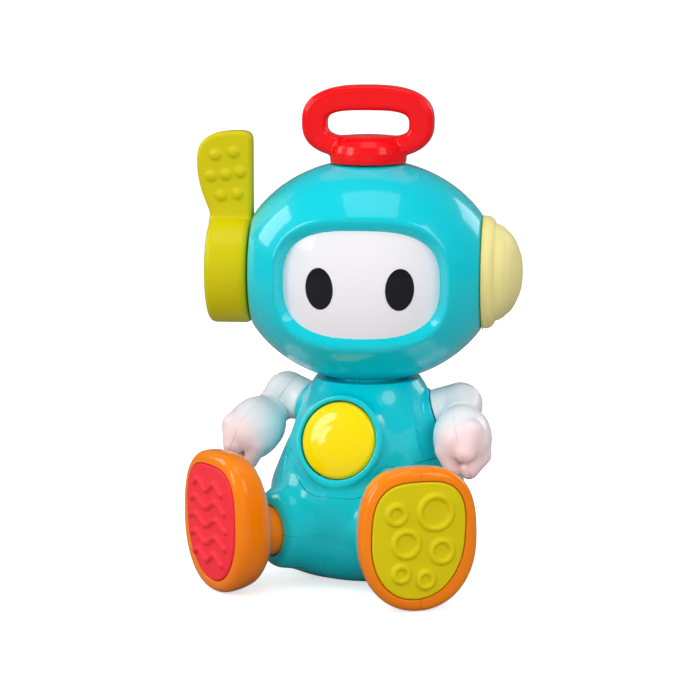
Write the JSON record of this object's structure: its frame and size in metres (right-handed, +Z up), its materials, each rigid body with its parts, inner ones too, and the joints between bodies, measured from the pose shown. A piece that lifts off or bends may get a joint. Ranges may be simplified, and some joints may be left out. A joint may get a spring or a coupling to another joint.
{
  "type": "toy robot",
  "caption": "Seated baby activity robot with a turning helmet head, top carry ring, lever antenna, squeaker ear, press button belly, posable arms and textured soft soles.",
  "frame": {"origin": "on the body axis at the ground, on the flat underside", "axes": "+Z up, -Y the way the chest faces, +X the robot's own left"},
  "size_m": [0.1447, 0.1304, 0.2194],
  "materials": {
    "teal": "glossy injection moulded",
    "red": "satin",
    "lime": "satin",
    "cream": "soft satin",
    "yellow": "glossy translucent",
    "orange": "glossy",
    "coral": "soft satin",
    "white": "glossy",
    "face_white": "glossy",
    "eye_black": "glossy print",
    "natural": "natural",
    "lime_pad": "soft satin",
    "steel": "zinc plated",
    "board": "solder mask",
    "silicone": "matte",
    "dark": "matte",
    "cell": "printed sleeve",
    "led": "clear"
  },
  "bodies": {
    "torso": {"chest_shell": "teal", "hip_shell": "teal", "base_shell": "teal", "battery_door": "teal", "battery_door_screw": "steel", "battery_tray": "dark", "batteries": "cell", "battery_contacts": "steel", "circuit_board": "board", "switch_pad": "silicone", "leds": "led", "speaker": "dark", "body_screws": "steel", "chest_screws": "steel"},
    "button": {"button_lens": "yellow", "button_carrier": "natural"},
    "head": {"head_front_shell": "teal", "head_rear_shell": "teal", "face_plate": "face_white", "eye_right": "eye_black", "eye_left": "eye_black", "handle": "red", "handle_retainer": "natural", "handle_screws": "steel", "neck_turret": "teal", "neck_retainer": "natural", "neck_screws": "steel", "head_screws": "steel", "squeaker_skirt": "cream", "squeaker_ring": "natural", "squeaker_reed": "steel", "antenna_detent": "steel"},
    "squeaker": {"squeaker_cap": "cream"},
    "antenna": {"antenna_lever": "lime", "antenna_ratchet": "natural", "antenna_screw": "steel"},
    "upper_arm_left": {"upper_arm_inner_shell_left": "white", "upper_arm_outer_shell_left": "white", "shoulder_hub_left": "natural", "shoulder_screw_left": "steel"},
    "forearm_left": {"forearm_outer_half_left": "white", "forearm_inner_half_left": "white"},
    "leg_left": {"foot_inner_half_left": "orange", "foot_outer_half_left": "orange", "sole_pad_left": "lime_pad", "leg_hub_left": "orange", "foot_screws_left": "steel"},
    "upper_arm_right": {"upper_arm_inner_shell_right": "white", "upper_arm_outer_shell_right": "white", "shoulder_hub_right": "natural", "shoulder_screw_right": "steel"},
    "forearm_right": {"forearm_outer_half_right": "white", "forearm_inner_half_right": "white"},
    "leg_right": {"foot_inner_half_right": "orange", "foot_outer_half_right": "orange", "sole_pad_right": "coral", "leg_hub_right": "orange", "foot_screws_right": "steel"}
  },
  "joints": [
    {"name": "head_turn", "type": "hinge", "parent": "torso", "child": "head", "pos_m": [0, 0, 0.0888], "axis": [0, 0, 1], "continuous": true},
    {"name": "antenna_turn", "type": "hinge", "parent": "head", "child": "antenna", "pos_m": [-0.04965, -0.0133, 0.1365], "axis": [0.9659, 0.2588, 0], "range_deg": [-90, 90]},
    {"name": "squeaker_press", "type": "slide", "parent": "head", "child": "squeaker", "axis": [-0.9659, -0.2588, 0], "range_m": [0, 0.005]},
    {"name": "button_press", "type": "slide", "parent": "torso", "child": "button", "axis": [0, 0.9613, -0.2756], "range_m": [0, 0.0025]},
    {"name": "shoulder_left", "type": "hinge", "parent": "torso", "child": "upper_arm_left", "pos_m": [0.031, 0.004, 0.074], "axis": [-0.9324, -0.2005, -0.3008], "range_deg": [-17, 51]},
    {"name": "forearm_twist_left", "type": "hinge", "parent": "upper_arm_left", "child": "forearm_left", "pos_m": [0.04182, 0.00633, 0.07749], "axis": [0.3214, -0.8406, -0.4359], "continuous": true},
    {"name": "leg_twist_left", "type": "hinge", "parent": "torso", "child": "leg_left", "pos_m": [0.02677, -0.03617, 0.024], "axis": [0.5948, -0.8039, 0], "continuous": true},
    {"name": "shoulder_right", "type": "hinge", "parent": "torso", "child": "upper_arm_right", "pos_m": [-0.031, 0.004, 0.074], "axis": [-0.9324, 0.2005, 0.3008], "range_deg": [-8, 60]},
    {"name": "forearm_twist_right", "type": "hinge", "parent": "upper_arm_right", "child": "forearm_right", "pos_m": [-0.04182, 0.00633, 0.07749], "axis": [-0.3433, -0.7516, -0.5632], "continuous": true},
    {"name": "leg_twist_right", "type": "hinge", "parent": "torso", "child": "leg_right", "pos_m": [-0.02677, -0.03617, 0.024], "axis": [-0.5948, -0.8039, 0], "continuous": true}
  ]
}
